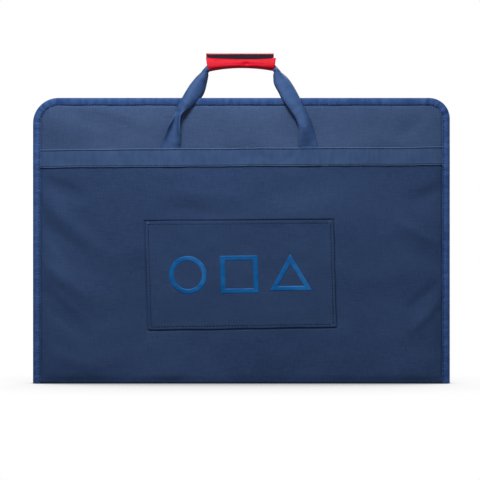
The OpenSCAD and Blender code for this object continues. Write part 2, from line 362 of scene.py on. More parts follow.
def stitch_rows(name, rows, out, length=3.4, radius=0.75, pitch=STITCH_PITCH, rear=False):
    """Rows of stitches as one mesh. Each row is a line of points on the cloth; out points away
    from the cloth, one direction for all, or a function of the stitches' places."""
    places, ways = [], []
    for row in rows:
        dense = smooth_path(row, pitch / 8)
        count = len(dense) // 8
        places.append(dense[4::8][:count])
        ways.append(unit(dense[6::8][:count] - dense[2::8][:count])[:count])
    n = min(sum(map(len, places)), sum(map(len, ways)))
    place, way = np.concatenate(places)[:n], np.concatenate(ways)[:n]
    up = out(place) if callable(out) else np.tile(np.array(out, float), (n, 1))
    up = unit(up - (up * way).sum(1, keepdims=True) * way)
    across = np.cross(way, up)
    shape = ((-0.5, 0.25, -0.55), (-0.3, 0.95, 0.1), (0.3, 0.95, 0.1), (0.5, 0.25, -0.55))
    turns = np.linspace(0, 2 * math.pi, 6, endpoint=False)
    points = []
    for along, girth, rise in shape:
        for turn in turns:
            points.append(
                place + way * along * length
                + up * radius * (rise + girth * math.sin(turn))
                + across * radius * girth * math.cos(turn))
    points = np.stack(points, 1).reshape(-1, 3)
    one = []
    for r in range(3):
        for k in range(6):
            k2 = (k + 1) % 6
            one.append((r * 6 + k, r * 6 + k2, r * 6 + 6 + k2, r * 6 + 6 + k))
    ends = [tuple(range(6)), tuple(range(18, 24))]
    faces = [tuple(i + 24 * s for i in f) for s in range(n) for f in one + ends]
    return add_mesh(name, points, faces, None, rear)


def sew(name, rows, out, material, slot, body, **style):
    """Rows of stitches in a thread, riding on a body."""
    dress(stitch_rows(name, rows, out, **style), material, body)


# ---------------------------------------------------------------- the edge, its binding and zip


def edge_path(step, low_z):
    """Places along the sides and top, over the binding, the way in from each, and the run."""
    left_r, right_r = LEFT_CORNER_R, RIGHT_CORNER_R
    parts = (
        ("line", (-HALF_W, low_z), (0, 1), TOP_Z - left_r - low_z),
        ("arc", (-HALF_W + left_r, TOP_Z - left_r), left_r, math.pi),
        ("line", (-HALF_W + left_r, TOP_Z), (1, 0), 2 * HALF_W - left_r - right_r),
        ("arc", (HALF_W - right_r, TOP_Z - right_r), right_r, math.pi / 2),
        ("line", (HALF_W, TOP_Z - right_r), (0, -1), TOP_Z - right_r - low_z),
    )
    places, ways = [], []
    for part in parts:
        if part[0] == "line":
            _, start, way, length = part
            at = np.linspace(0, length, max(2, round(length / step)))[:, None]
            places.append(np.array(start) + at * np.array(way))
            ways.append(np.tile([way[1], -way[0]], (len(at), 1)))
        else:
            _, centre, radius, first = part
            count = max(4, round(radius * math.pi / 2 / step))
            turn = np.linspace(first, first - math.pi / 2, count + 2)[1:-1]
            out = np.stack([np.cos(turn), np.sin(turn)], 1)
            places.append(np.array(centre) + radius * out)
            ways.append(-out)
    places, ways = np.concatenate(places), np.concatenate(ways)
    return places, ways, run_along(places)


def along_edge(step, low_z, section):
    """Section loops along the edge. section(run, x, z) gives insets and depths, each an array of
    places by points."""
    places, ways, run = edge_path(step, low_z)
    inset, depth = section(run, places[:, 0], places[:, 1])
    x = places[:, :1] + ways[:, :1] * inset
    z = places[:, 1:] + ways[:, 1:] * inset
    return front_side(x, depth, z)


# the binding's section, from its front edge round the outside to its back edge: inset, depth
BIND_MID = (BIND_OUT + BIND_IN) / 2
BIND_OUTER = (
    (12.0, BIND_OUT - 0.4), (11.7, BIND_OUT), (10.2, BIND_OUT - 0.35),
    (8.2, BIND_OUT + 0.3), (5.0, BIND_OUT + 0.6), (2.6, BIND_OUT + 0.2),
    (1.1, BIND_OUT - 0.5), (0.3, BIND_OUT - 1.2),
    (0.0, BIND_MID), (0.3, BIND_IN + 0.9), (1.1, BIND_IN + 0.3), (2.6, BIND_IN),
    (7.0, BIND_IN), (11.6, BIND_IN), (12.0, BIND_IN + 0.4),
)
BIND_INNER = (
    (11.8, BIND_IN + 0.85), (7.0, BIND_IN + 0.85), (2.6, BIND_IN + 0.85), (1.0, BIND_MID),
    (2.6, BIND_OUT - 0.85), (8.0, BIND_OUT - 0.85), (11.8, BIND_OUT - 0.85),
)


def binding_lift(run, x, z, rear):
    """How far the binding's front face stands out along its run: puckers, and the band's ends."""
    seed = 60 if rear else 50
    swing = run / 2.1 + 3.0 * ripple(run, 18, seed)
    soft = 0.16 * np.sin(swing) + 0.22 * ripple(run, 9, seed + 1)
    soft = soft + 0.25 * ripple(run, 40, seed + 2)
    at_corner = bump(np.hypot(np.abs(x) - HALF_W, z - TOP_Z), 62)
    soft = soft * (1 + 2.4 * at_corner)
    over_band = plateau(z - (BAND_LOW[2] + BAND_HIGH[2]) / 2, 16, 7)
    return soft + 1.0 * over_band * (z < TOP_Z - 45)


def make_binding(side, rear):
    loop = np.array(BIND_OUTER + BIND_INNER)
    facing = np.clip((loop[:, 1] - BIND_IN) / (BIND_OUT - BIND_IN), 0, 1)

    def section(run, x, z):
        lift = binding_lift(run, x, z, rear)
        sway = 0.35 * ripple(run, 16, 71 + rear) + 0.18 * ripple(run, 6, 73)
        inset = loop[:, 0] + sway[:, None] * (loop[:, 0] > 9)
        return inset, loop[:, 1] + lift[:, None] * facing

    rings = along_edge(1.6, 0.6, section)
    piece = tube_of(f"{side}_binding_tape", rings, rear)
    dress(piece, "binding", side, stands_for=[f"{side}_binding"])

    def stitch_line(inset, face):
        places, ways, run = edge_path(2.0, 3.0)
        spot = places + ways * inset
        depth = BIND_IN if face == "in" else BIND_OUT - 0.25 + binding_lift(
            run, places[:, 0], places[:, 1], rear)
        return front_side(spot[:, 0], depth + 0 * run, spot[:, 1])

    for name, inset, face, out in (("stitches", 10.3, "out", -1),
                                   ("stitches_inside", 9.9, "in", 1)):
        sew(f"{side}_binding_{name}", [stitch_line(inset, face)], (0, out, 0),
            "binding_thread", "binding", side, rear=rear)


def zip_shut(z):
    """How far the zip's halves close on each other: fully along the straight sides, where no
    slider runs."""
    return np.clip((TOP_Z - 20 - z) / 22, 0, 1)


def make_zip(side, rear):
    tape = np.array((
        (12.0, BIND_IN + 1.0), (11.9, BIND_IN - 1.5), (12.1, 6.0), (12.2, TAPE_IN),
        (12.6, TAPE_IN - 0.2), (13.0, TAPE_IN), (12.9, 6.0), (12.7, BIND_IN - 1.5),
        (12.8, BIND_IN + 1.0),
    ))

    def section(run, x, z):
        sag = 0.22 * ripple(run, 22, 81 + rear) * (1 - 0.8 * (z > TOP_Z - 20))
        sag = sag * (1 - 0.7 * zip_shut(z))
        drawn = (TAPE_IN - 0.22) * zip_shut(z)
        depth = tape[:, 1] - drawn[:, None] * (tape[:, 1] <= TAPE_IN)
        return tape[:, 0] + sag[:, None] * (tape[:, 1] < 10), depth

    piece = tube_of(f"{side}_zip_tape_cloth", along_edge(3.0, 4.0, section), rear)
    dress(piece, "zip_tape", side, stands_for=[f"{side}_zip_tape"])

    # the coil: a nylon helix along the tape's edge
    pitch, steps, wire = 2.3, 8, 0.42
    places, ways, run = edge_path(1.0, COIL_LOW[2])
    at = np.arange(0, run[-1], pitch / steps)
    spot = np.stack([np.interp(at, run, places[:, k]) for k in (0, 1)], 1)
    way = unit(np.stack([np.interp(at, run, ways[:, k]) for k in (0, 1)], 1))
    turn = 2 * math.pi * at / pitch + (math.pi if rear else 0)
    middle_inset, middle_depth = 10.8, (-COIL_HIGH[1] - COIL_LOW[1]) / 2
    inset = middle_inset + 0.75 * np.cos(turn)
    depth = middle_depth + 1.25 * np.sin(turn)
    depth = depth - (middle_depth - 1.25) * zip_shut(spot[:, 1])
    line = front_side(spot[:, 0] + way[:, 0] * inset, depth, spot[:, 1] + way[:, 1] * inset)
    rings = wire_rings(line, wire, 5)
    piece = tube_of(f"{side}_zip_teeth", rings, rear)
    dress(piece, "zip_coil", side, stands_for=[f"{side}_zip_coil"])


def wire_rings(line, radius, sides):
    """Round sections along a line of points."""
    way = unit(np.gradient(line, axis=0))
    helper = np.where(np.abs(way[:, 1:2]) > 0.9, [[1.0, 0, 0]], [[0, 1.0, 0]])
    one = unit(np.cross(way, helper))
    two = np.cross(way, one)
    turn = np.linspace(0, 2 * math.pi, sides, endpoint=False)[None, :, None]
    return line[:, None] + radius * (np.cos(turn) * one[:, None] + np.sin(turn) * two[:, None])


# ---------------------------------------------------------------- panels, base and lining


def spaced(low, high, step):
    return np.linspace(low, high, max(2, round((high - low) / step)) + 1)


def lines_between(low, high, step, seams=(), reach_out=5.0, fine=0.9):
    """Grid lines a step apart, and closer together around each seam."""
    lines = [spaced(low, high, step)]
    lines += [spaced(max(low, at - reach_out), min(high, at + reach_out), fine)
              for at in seams if low < at < high]
    kept = []
    for at in np.sort(np.concatenate(lines)):
        if not kept or at - kept[-1] > fine * 0.6:
            kept.append(at)
    kept[-1] = high
    return np.array(kept)


def hem_profile(radius, reach_in, face, base_z, top_z, step, seams=()):
    """A cloth from under the base round the lower edge and up: depths, heights and run."""
    under = spaced(face - radius - reach_in, face - radius, 2.0)[:-1]
    turn = np.linspace(0, math.pi / 2, 9)
    up = lines_between(base_z + radius, top_z, step, seams)[1:]
    depth = np.concatenate([under, face - radius + radius * np.sin(turn), face + 0 * up])
    z = np.concatenate([base_z + 0 * under, base_z + radius - radius * np.cos(turn), up])
    return depth, z, run_along(np.stack([depth, z], 1))


def corner_width(z, half, top, corner_r=PANEL_CORNER_R):
    """Half the width at each height of an outline with round upper corners."""
    rise = np.clip((z - (top - corner_r)) / corner_r, 0, 1)
    return half - corner_r + corner_r * np.sqrt(1 - rise ** 2)


def fit_grid(x, z, width):
    """A grid of columns x and rows z, with each row drawn in to its half width."""
    return x / x[-1] * width[:, None], np.repeat(z[:, None], len(x), 1)


def make_lower_cloth(side, rear, top_z):
    """The main panel cloth, from its seam under the base, round the lower edge and up."""
    seam_x, seam_z = ((), ()) if rear else (POCKET_SEAMS_X, POCKET_SEAMS_Z)
    depth, z, run = hem_profile(HEM_R, HEM_REACH - CLOTH + HEM_R + 5, CLOTH, 0.0, top_z, 3.4,
                                seam_z)
    half = HALF_W - 3.0
    x = lines_between(-half, half, 3.4, [BINDING_W - HALF_W, *seam_x, HALF_W - BINDING_W])
    width = half + 0 * z
    if rear:
        in_corner = z > TOP_Z - 4 - PANEL_CORNER_R
        width = np.where(in_corner, corner_width(z, HALF_W - 4, TOP_Z - 4), width)
    grid_x, grid_z = fit_grid(x, z, width)
    soft = panel_depth(grid_x, grid_z, rear) - CLOTH
    grid_depth = depth[:, None] + soft * np.clip((grid_z - HEM_R) / 8, 0, 1)
    uv = np.stack([grid_x, run[:, None] + 0 * grid_x], -1)
    name = f"{side}_main_cloth"
    piece = sheet_of(name, front_side(grid_x, grid_depth, grid_z), 0.9, uv, rear)
    node = "rear_panel" if rear else "front_lower_panel"
    bend = hem_bend(side, rear)
    dress(piece, "lower_cloth", bend=bend, stands_for=[node])


def hem_bend(side, rear):
    way = 1 if rear else -1
    return ("bottom", side, (0, way * 11.5 * MM, 0), (0, way * 16.0 * MM, 7.0 * MM))


def make_upper_cloth():
    half, top = HALF_W - 4, TOP_Z - 4
    z = lines_between(SEAM_Z - 4, top, 3.2, [TOP_Z - BINDING_W])
    x = lines_between(-half, half, 3.4, [BINDING_W - HALF_W, HALF_W - BINDING_W])
    grid_x, grid_z = fit_grid(x, z, corner_width(z, half, top))
    depth = panel_depth(grid_x, grid_z) + 0.25
    uv = np.stack([grid_x, grid_z], -1)
    piece = sheet_of("front_yoke_cloth", front_side(grid_x, depth, grid_z), 0.9, uv)
    dress(piece, "upper_cloth", "front",
          stands_for=["front_upper_panel"])


def make_base():
    x = spaced(-HALF_W + 2, HALF_W - 2, 6)
    y = spaced(-13.5, 13.5, 2.0)
    grid_x = x[:, None] + 0 * y[None, :]
    grid_y = y[None, :] + 0 * grid_x
    low_z = 0.95 + 0 * grid_x
    # the outer face looks down, so the grid runs along Y by columns and X by rows
    outer = np.stack([grid_x, grid_y, low_z], -1)
    uv = np.stack([grid_x, grid_y], -1)
    piece = sheet_of("base_cloth", outer, -1.0, uv)
    dress(piece, "base_cloth", "bottom", stands_for=["bottom_gusset"])
    low = [np.stack([x, 0 * x + s * d, 0 * x], 1) for s in (-1, 1) for d in (7.5, 9.2)]
    sew("base_stitches", low, (0, 0, -1), "thread", "base_cloth", "bottom", radius=0.3)
    depth = spaced(-8.0, 8.0, 2.0)
    grid_x = spaced(-HALF_W + 32, HALF_W - 32, 6)[:, None] + 0 * depth[None, :]
    grid_y = depth[None, :] + 0 * grid_x
    outer = np.stack([grid_y * 0 + grid_x, grid_y, 2.6 + 0 * grid_x], -1)
    piece = sheet_of("base_lining", outer, 0.5, np.stack([grid_x, grid_y], -1))
    dress(piece, "lining", "bottom")


def make_lining(side, rear):
    """The lining, from the base up to the zip tape, whose edge covers it."""
    inset = BINDING_W + 1.2
    face = LINING_IN
    turn = np.linspace(0, math.pi / 2, 6)
    depth = np.concatenate([spaced(6, face - 3, 2)[:-1], face - 3 + 3 * np.sin(turn)])
    z = np.concatenate([2.9 + 0 * spaced(6, face - 3, 2)[:-1], 2.9 + 3 - 3 * np.cos(turn)])
    up = spaced(5.9, TOP_Z - inset, 6)[1:]
    depth, z = np.concatenate([depth, face + 0 * up]), np.concatenate([z, up])
    run = run_along(np.stack([depth, z], 1))
    half, top = HALF_W - inset, TOP_Z - inset
    x = spaced(-half, half, 6)
    grid_x, grid_z = fit_grid(x, z, corner_width(z, half, top, 26.0))
    from_edge = np.minimum(half - np.abs(grid_x), np.minimum(top - grid_z, grid_z))
    soft = 0.3 * waves(grid_x, grid_z, 60, 91 + rear) * np.clip(from_edge / 30, 0, 1)
    grid_depth = depth[:, None] - np.abs(soft)
    uv = np.stack([grid_x, run[:, None] + 0 * grid_x], -1)
    outer = front_side(grid_x, grid_depth, grid_z)
    piece = sheet_of(f"{side}_lining_cloth", outer, -0.5, uv, rear)
    dress(piece, "lining", bend=hem_bend(side, rear),
          stands_for=[f"{side}_lining"])


def make_inner_pocket():
    x = spaced(INNER_LOW[0], INNER_HIGH[0], 5)
    z = spaced(INNER_LOW[2], INNER_HIGH[2], 5)
    grid_x, grid_z = np.meshgrid(x, z)
    inside = np.minimum(INNER_HIGH[0] - np.abs(grid_x), grid_z - INNER_LOW[2])
    rise = 0.9 * np.clip(inside / 25, 0, 1) * np.clip((grid_z - INNER_LOW[2]) / 150, 0, 1)
    soft = 0.25 * waves(grid_x, grid_z, 45, 95) * np.clip(inside / 30, 0, 1)
    depth = LINING_IN - 0.75 - rise - np.abs(soft)
    outer = front_side(grid_x, depth, grid_z)
    piece = sheet_of("inner_pocket_cloth", outer, -0.5, np.stack([grid_x, grid_z], -1), True)
    dress(piece, "lining", "rear", stands_for=["inner_pocket"])
    # the bound upper edge: a tape folded over it
    top = TRIM_HIGH[2]
    x = spaced(TRIM_LOW[0], TRIM_HIGH[0], 4)
    deep = LINING_IN - 1.9
    loop = np.array(((deep - 0.35, top - 12), (deep - 0.55, top - 8), (deep - 0.6, top - 1.2),
                     (deep, top + 0.3), (deep + 0.9, top - 0.6), (deep + 0.9, top - 12),
                     (deep + 0.5, top - 12), (deep + 0.5, top - 1.4), (deep - 0.1, top - 1.4),
                     (deep - 0.1, top - 12)))
    sway = 0.15 * ripple(x, 14, 97)
    rings = front_side(x[:, None] + 0 * loop[:, 0], loop[:, 0] - np.abs(sway)[:, None],
                       loop[:, 1] + 0.6 * sway[:, None])
    piece = tube_of("inner_pocket_tape", rings, True)
    dress(piece, "binding", "rear", stands_for=["inner_pocket_binding"])
    line = front_side(x, deep - 0.62 - np.abs(sway), top - 9.5 + 0 * x)
    sides, ends = (INNER_LOW[0] + 4, INNER_HIGH[0] - 4), (INNER_HIGH[2] - 14, INNER_LOW[2] + 4)
    frame_line = [(sides[a], -LINING_IN + 0.8, ends[b])
                  for a, b in ((0, 0), (0, 1), (1, 1), (1, 0))]
    sew("inner_pocket_stitches", [line, frame_line], (0, 1, 0), "binding_thread", "binding",
        "rear", radius=0.3, rear=True)


# ---------------------------------------------------------------- bands and outer pocket


def band_middle(x, rear):
    """Height of the band's middle, which rises a little to one side and wavers."""
    tilt = 0.0 if rear else 2.2 * x / HALF_W
    return (BAND_LOW[2] + BAND_HIGH[2]) / 2 + tilt + 0.5 * ripple(x, 70, 31 + rear)


def band_depth(x, z, rear):
    """Depth of the band's outer face, which rises over the handle's ends."""
    over = sum(plateau(x - s * HANDLE_X, 12.5, 9) for s in (-1, 1))
    wrinkle = crease(x, z, (18, 382), (52, 364), 5, -0.7)
    wrinkle = wrinkle + crease(x, z, (60, 360), (92, 379), 5, -0.6)
    return panel_depth(x, z, rear) + 1.35 + 0.7 * over + wrinkle


def make_band(side, rear):
    half = HALF_W - BINDING_W + 2.5
    x = spaced(-half, half, 2.2)
    v = np.concatenate([[-15, -14.6, -13.6], spaced(-12, 12, 2.2), [13.6, 14.6, 15]])
    grid_x = x[None, :] + 0 * v[:, None]
    middle = band_middle(grid_x, rear)
    edge_sway = 0.25 * ripple(grid_x, 11, 33 + rear)
    grid_z = middle + v[:, None] * (1 + edge_sway / 15)
    sewn = 0.3 * np.exp(-((np.abs(v[:, None]) - 13.2) / 1.1) ** 2)
    lip = 0.35 * (np.abs(v[:, None]) > 14.8) - 0.7 * bump(v[:, None] + 15, 5)
    pucker = 0.14 * np.sin(grid_x / 1.3 + 3 * ripple(grid_x, 20, 35))
    pucker = pucker * plateau(np.abs(v[:, None]) - 13, 1.5, 4)
    depth = band_depth(grid_x, grid_z, rear) - sewn - lip + pucker
    uv = np.stack([grid_x, v[:, None] + 0 * grid_x], -1)
    piece = sheet_of(f"{side}_webbing_band", front_side(grid_x, depth, grid_z), 1.2, uv, rear)
    dress(piece, "band", side, stands_for=[f"{side}_band"])
    lines = []
    for offset in (-12.9, 12.9):
        line_x = spaced(-half + 3, half - 3, 2)
        line_z = band_middle(line_x, rear) + offset
        lines.append(front_side(line_x, band_depth(line_x, line_z, rear) - 0.1, line_z))
    sew(f"{side}_band_stitches", lines, (0, -1, 0), "thread", "webbing", side, rear=rear)


def on_pocket(u, v):
    """X and Z of a point of the pocket, u and v running from 0 to 1."""
    c = POCKET_CORNERS
    spot = [(1 - v) * ((1 - u) * c["bl"][k] + u * c["br"][k])
            + v * ((1 - u) * c["tl"][k] + u * c["tr"][k]) for k in (0, 1)]
    return spot[0], spot[1]


def pocket_depth(u, v):
    """Depth of the pocket's outer face: folded hems, sewn down on three sides."""
    x, z = on_pocket(u, v)
    left, right = u * POCKET_W, (1 - u) * POCKET_W
    low, high = v * POCKET_H, (1 - v) * POCKET_H
    sewn = np.minimum(np.minimum(left, right), low)
    hem = 0.45 * plateau(np.minimum(sewn, high), 5.5, 5)
    stitch = 0.3 * np.exp(-((sewn - 4.5) / 1.3) ** 2) + 0.3 * np.exp(-((high - 4.5) / 1.3) ** 2)
    edge = 0.5 * np.exp(-sewn / 0.5)
    mouth = 1.3 * bump(high, 40) * np.clip(np.minimum(left, right) / 60, 0, 1)
    soft = 0.35 * waves(x, z, 55, 41) + 0.18 * waves(x, z, 22, 42)
    soft = soft * np.clip(sewn / 25, 0, 1)
    soft = soft + crease(x, z, (-128, 262), (-58, 218), 9, 0.5)
    under = panel_depth(x, z, under_pocket=True)
    return under + 1.15 + hem - stitch - edge + mouth + soft


def make_pocket():
    fine = np.array([0, 0.35, 0.8, 1.4, 2.3, 3.4, 4.5, 5.6, 7.2, 9.5, 12, 15])
    u_mm = np.concatenate([fine, spaced(18, POCKET_W - 18, 3.2), POCKET_W - fine[::-1]])
    v_mm = np.concatenate([fine, spaced(18, POCKET_H - 18, 3.2), POCKET_H - fine[::-1]])
    u, v = np.meshgrid(u_mm / POCKET_W, v_mm / POCKET_H)
    x, z = on_pocket(u, v)
    bow = 0.5 * waves(x, z, 60, 43)
    z = z + bow * bump(np.minimum(v, 1 - v) * POCKET_H, 20)
    x = x + 0.4 * waves(z, x, 50, 44) * bump(np.minimum(u, 1 - u) * POCKET_W, 20)
    uv = np.stack([u * POCKET_W, v * POCKET_H], -1)
    piece = sheet_of("front_pocket_cloth", front_side(x, pocket_depth(u, v), z), 0.8, uv)
    dress(piece, "pocket_cloth", "front", stands_for=["front_pocket"])

    def line(u0, v0, u1, v1):
        t = spaced(0, 1, 0.01)
        u_line, v_line = (u0 + (u1 - u0) * t) / POCKET_W, (v0 + (v1 - v0) * t) / POCKET_H
        line_x, line_z = on_pocket(u_line, v_line)
        return front_side(line_x, pocket_depth(u_line, v_line) + 0.05, line_z)

    w, h, e = POCKET_W, POCKET_H, 4.5
    lines = [line(e, h - 1, e, e), line(e, e, w - e, e), line(w - e, e, w - e, h - 1),
             line(e, h - e, w - e, h - e)]
    sew("pocket_stitches", lines, (0, -1, 0), "thread", "pocket_cloth", "front")
    # the bar tacks are sewn in a lighter copy of the thread: a painted highlight where they catch
    # the light
    tacks = [line(a, h - b, a + 5, h - b) for a in (2, w - 7) for b in (1.5, 2.3, 3.1)]
    sew("pocket_bar_tacks", tacks, (0, -1, 0), "thread_painted_highlight", "pocket_cloth", "front",
        length=1.4, pitch=1.3)


def make_print():
    """A plain mark in ink: a ring, a square and a triangle in outline."""
    size, line, gap = 62.0, 8.0, 84.3
    middle_u, middle_v = POCKET_W / 2 - 2.5, POCKET_H / 2 + 0.5
    round_turn = np.linspace(0, 2 * math.pi, 97)[:-1]
    ring = np.stack([np.cos(round_turn), np.sin(round_turn)], 1)

    def corners(points, count=24):
        """An outline through corners, with points between them."""
        points = np.array(points, float)
        after = np.roll(points, -1, 0)
        share = np.linspace(0, 1, count, endpoint=False)[:, None]
        return np.concatenate([a + (b - a) * share for a, b in zip(points, after)])

    square = corners([(-1, -1), (1, -1), (1, 1), (-1, 1)])
    peak = math.tau / 3
    tri = corners([(math.sin(peak * k), math.cos(peak * k)) for k in range(3)], 32)
    shapes = (
        (ring * size / 2, ring * (size / 2 - line), (-gap, 0)),
        (square * size / 2, square * (size / 2 - line), (0, 0)),
        (tri * size * 0.65, tri * (size * 0.65 - 2 * line), (gap, -size / 8)),
    )
    points, faces, uv = [], [], []
    for outer, inner, (shift_u, shift_v) in shapes:
        steps = 4
        loops = [outer + (inner - outer) * k / steps for k in range(steps + 1)]
        first = sum(len(p) for p in points)
        count = len(outer)
        sheet = []
        for rise in (0.09, -0.12):
            for loop in loops:
                u = (middle_u + shift_u + loop[:, 0]) / POCKET_W
                v = (middle_v + shift_v + loop[:, 1]) / POCKET_H
                x, z = on_pocket(u, v)
                sheet.append(front_side(x, pocket_depth(u, v) + rise, z))
                uv.append(np.stack([u * POCKET_W, v * POCKET_H], 1))
        order = list(range(steps + 1)) + list(range(2 * steps + 1, steps, -1))
        for a, b in zip(order, order[1:] + order[:1]):
            for k in range(count):
                n = (k + 1) % count
                faces.append((first + a * count + k, first + a * count + n,
                              first + b * count + n, first + b * count + k))
        points.extend(sheet)
    piece = add_mesh("pocket_mark", np.concatenate(points), faces, np.concatenate(uv))
    dress(piece, "print", "front", stands_for=["pocket_print"])


# ---------------------------------------------------------------- handles and grip


def catmull(stations, per_gap):
    """A smooth curve through rows of numbers."""
    rows = np.array(stations, float)
    rows = np.concatenate([[2 * rows[0] - rows[1]], rows, [2 * rows[-1] - rows[-2]]])
    t = np.linspace(0, 1, per_gap, endpoint=False)[:, None]
    made = []
    for a, b, c, d in zip(rows, rows[1:], rows[2:], rows[3:]):
        made.append(0.5 * (2 * b + (c - a) * t + (2 * a - 5 * b + 4 * c - d) * t ** 2
                           + (3 * b - a - 3 * c + d) * t ** 3))
    return np.concatenate([*made, rows[-2:-1]])


# Each handle's route: X, Z, depth, width seen from the front, the turn of its section in degrees
# (how far it is bent, its middle outwards, or its edges where negative), and how much nearer
# its inner edge is.
LEFT_LEG = (
    (-115.6, 360, 17.0, 30, -3, 0), (-115.6, 384, 17.1, 30, -6, 0),
    (-115.2, 393, 17.5, 29, -22, 1), (-113.2, 402, 17.8, 25.5, -42, 2),
    (-110.3, 418, 18.0, 19.5, -62, 3), (-106.6, 432, 18.2, 12.8, -50, 6),
    (-103.6, 442, 18.4, 10.2, -14, 10), (-97.4, 452.5, 18.4, 15.0, 32, 9),
    (-87.6, 463.5, 18.0, 21.5, 62, 0), (-74.6, 482, 12.5, 24.5, 62, -7),
    (-66.9, 497, 7.5, 19.0, 74, -6), (-61.4, 507.5, 4.0, 12.4, 92, -2),
    (-58.4, 514.5, 2.6, 7.8, 100, 0), (-49.0, 521.5, 1.7, 8.6, 100, 0),
)
RIGHT_LEG = (
    (49.0, 521.5, 1.7, 8.6, 100, 0), (57.4, 514.5, 2.6, 8.4, 100, 0),
    (59.9, 507.5, 4.0, 15.0, 92, 3), (64.2, 498.5, 7.5, 22.2, 74, 7),
    (72.2, 486, 11.5, 24.4, 60, 10), (80.4, 470.5, 16.5, 25.0, 56, 9),
    (89.2, 455, 18.4, 23.0, 64, 8), (98.0, 439.5, 18.4, 20.8, 66, 8),
    (104.2, 424, 18.4, 22.0, 60, 7), (107.2, 407, 18.0, 26.4, 44, 5),
    (108.9, 393, 17.5, 29.4, 20, 2), (108.9, 384, 17.1, 30, 6, 0),
    (108.9, 360, 17.0, 30, 3, 0),
)
BEND_IN_GRIP = ((-24.0, 524.6, 1.6, 8.6, 100, 0), (0.0, 525.4, 1.6, 8.6, 100, 0),
                (24.0, 524.6, 1.6, 8.6, 100, 0))
DEEPEST = 29.6


def trough(width, turn, count=17):
    """Half an ellipse or less: across and outwards, as wide as seen and as long as the strap."""
    limit = math.radians(turn)
    angle = np.linspace(-limit, limit, count)
    across = width / 2 * np.sin(angle) / math.sin(min(limit, math.pi / 2))

    def bulge(height):
        return height * (np.cos(angle) - math.cos(limit)) / (1 - math.cos(limit))

    low, high = 0.0, 40.0
    for _ in range(24):
        middle = (low + high) / 2
        length = np.hypot(np.diff(across), np.diff(bulge(middle))).sum()
        low, high = (middle, high) if length < STRAP_W else (low, middle)
    return across, bulge(low)


def make_handle(side, rear):
    route = catmull(LEFT_LEG + BEND_IN_GRIP + RIGHT_LEG, 9)
    x, z, depth, width, turn, lean = route.T
    if rear:
        x = x + 0.4 * np.clip((z - 400) / 60, 0, 1)
    line = np.stack([x, z], 1)
    way = unit(np.gradient(line, axis=0))
    left = np.stack([-way[:, 1], way[:, 0]], 1)
    hidden = np.clip((60 - np.abs(x)) / 6, 0, 1) * (z > 508)
    rings = []
    for k in range(len(route)):
        seen = min(width[k], STRAP_W - 0.05)
        chord = min(math.hypot(seen, lean[k]), STRAP_W - 0.05)
        across, out = trough(chord, max(abs(turn[k]), 30))
        across = across * seen / chord
        room = min(DEEPEST - depth[k] - lean[k] / 3, 2.6 + 28 * (1 - hidden[k]))
        out = out * min(1, room / max(out.max(), 1e-6)) * np.clip(turn[k] / 60, -1, 1)
        out = out - out.min()
        span = across / max(np.abs(across).max(), 1e-6)
        deep = depth[k] + out - span * lean[k] / 2 + abs(lean[k]) / 2
        deep = np.minimum(deep, DEEPEST)
        middle = np.stack([x[k] + left[k, 0] * across, -deep, z[k] + left[k, 1] * across], 1)
        run_way = np.array([way[k, 0], 0, way[k, 1]])
        normal = unit(np.cross(np.gradient(middle, axis=0), run_way))
        outer, inner = middle + normal * STRAP_T / 2, middle - normal * STRAP_T / 2
        tips = unit(middle[[0, -1]] - middle[[1, -2]]) * STRAP_T * 0.4 + middle[[0, -1]]
        rings.append(np.concatenate([outer, tips[1:], inner[::-1], tips[:1]]))
    rings = np.array(rings)
    run = run_along(line)
    count = rings.shape[1]
    half = (count - 2) // 2
    across = np.linspace(0, STRAP_W, half)
    across = np.concatenate([across, [STRAP_W + 0.5], across[::-1], [-0.5]])
    uv = np.stack(np.meshgrid(run, across, indexing="ij"), -1)
    piece = tube_of(f"{side}_webbing_handle", rings, rear, uv=uv)
    way_out = 1 if rear else -1
    start = (0, way_out * 18.6 * MM, 386.5 * MM)
    end = (0, way_out * 18.6 * MM, 395.5 * MM)
    dress(piece, "webbing", bend=(side, f"{side}_handle", start, end),
          stands_for=[f"{side}_handle", f"{side}_handle_anchors"])


def grip_profile():
    """The closed wrap's section: outer and inner lines of Y and Z, from the front flap's edge
    under the straps to the rear flap's edge."""
    front_edge = GRIP_HIGH[2]
    outer = [(-2.6, front_edge), (-4.4, front_edge - 2.2), (-6.6, 530.0), (-8.0, 526.0)]
    turn = np.linspace(math.pi, 2 * math.pi, 13)
    outer += [(8.2 * math.cos(t), GRIP_MIDDLE_Z + 8.2 * math.sin(t)) for t in turn]
    outer += [(8.0, 526.0), (6.6, 530.0), (4.6, 533.6), (3.2, 536.0), (2.9, 540.0),
              (2.8, RIM_Z)]
    return np.array(outer)


def make_grip():
    """The padded wrap: one quilted cloth, bent round both straps."""
    skin = grip_profile()
    way = unit(np.gradient(skin, axis=0))
    out = np.stack([way[:, 1], -way[:, 0]], 1)
    thick = np.interp(skin[:, 1], [520, 530, 536, RIM_Z], [2.7, 2.5, 1.5, 1.4])
    thick[:3] = [1.5, 1.8, 2.2]
    inner = skin - out * thick[:, None]
    loop = np.concatenate([skin, inner[::-1]])
    half = GRIP_HIGH[0]
    x = spaced(-half, half, 1.5)
    rings = np.stack([x[:, None] + 0 * loop[:, 0], loop[:, 0] + 0 * x[:, None],
                      loop[:, 1] + 0 * x[:, None]], -1)
    piece = tube_of("grip_wrap", rings)
    swell(piece)
    shape_grip(piece)
    dress(piece, "grip_cloth", bend=(
        "rear_handle", "grip_flap", (0, 1.5 * MM, GRIP_MIDDLE_Z * MM),
        (0, -1.5 * MM, GRIP_MIDDLE_Z * MM)),
        stands_for=["grip_wrap_back", "grip_padding_back", "grip_wrap_flap",
                    "grip_padding_flap"])


